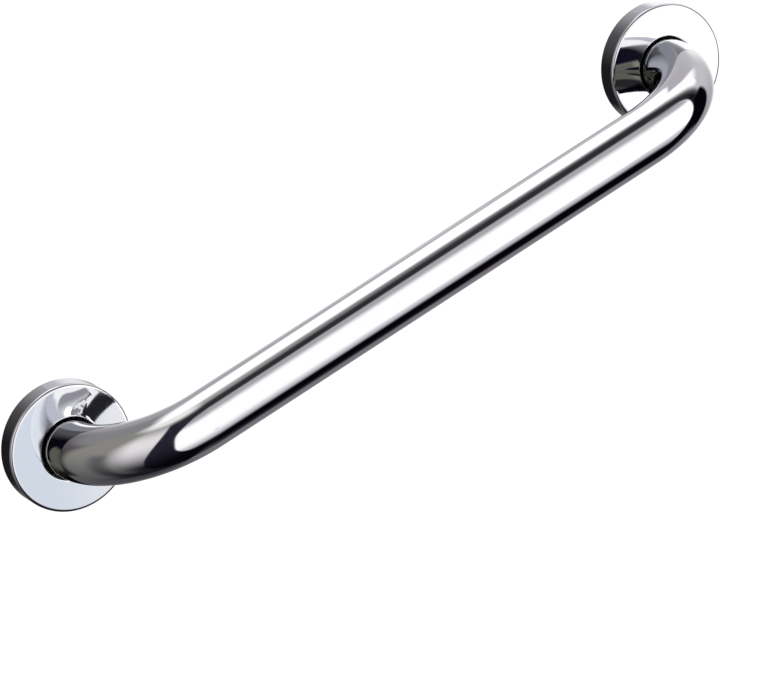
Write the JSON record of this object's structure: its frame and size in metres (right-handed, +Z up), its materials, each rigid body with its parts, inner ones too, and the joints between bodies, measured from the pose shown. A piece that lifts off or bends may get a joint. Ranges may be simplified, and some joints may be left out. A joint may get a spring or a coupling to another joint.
{
  "type": "grab bar",
  "caption": "Wall grab bar: a polished bent steel tube with a straight grip, welded at each end to a round screwed plate under a drawn round cover.",
  "frame": {"origin": "centre of the left fixing, on the wall plane", "axes": "+X along the bar from the left fixing to the right one, +Y into the wall, +Z up; the bar stands off the wall towards -Y"},
  "size_m": [0.47, 0.086, 0.07],
  "materials": {
    "polished_tube": "mirror-polished stainless steel",
    "polished_cover": "mirror-polished stainless steel sheet",
    "plate_steel": "plain rolled stainless steel, as stamped",
    "weld_metal": "as-welded stainless steel"
  },
  "bodies": {
    "root": {"grip_tube": "polished_tube", "left_mounting_plate": "plate_steel", "right_mounting_plate": "plate_steel", "left_weld_bead": "weld_metal", "right_weld_bead": "weld_metal", "left_cover": "polished_cover", "right_cover": "polished_cover"}
  },
  "joints": []
}
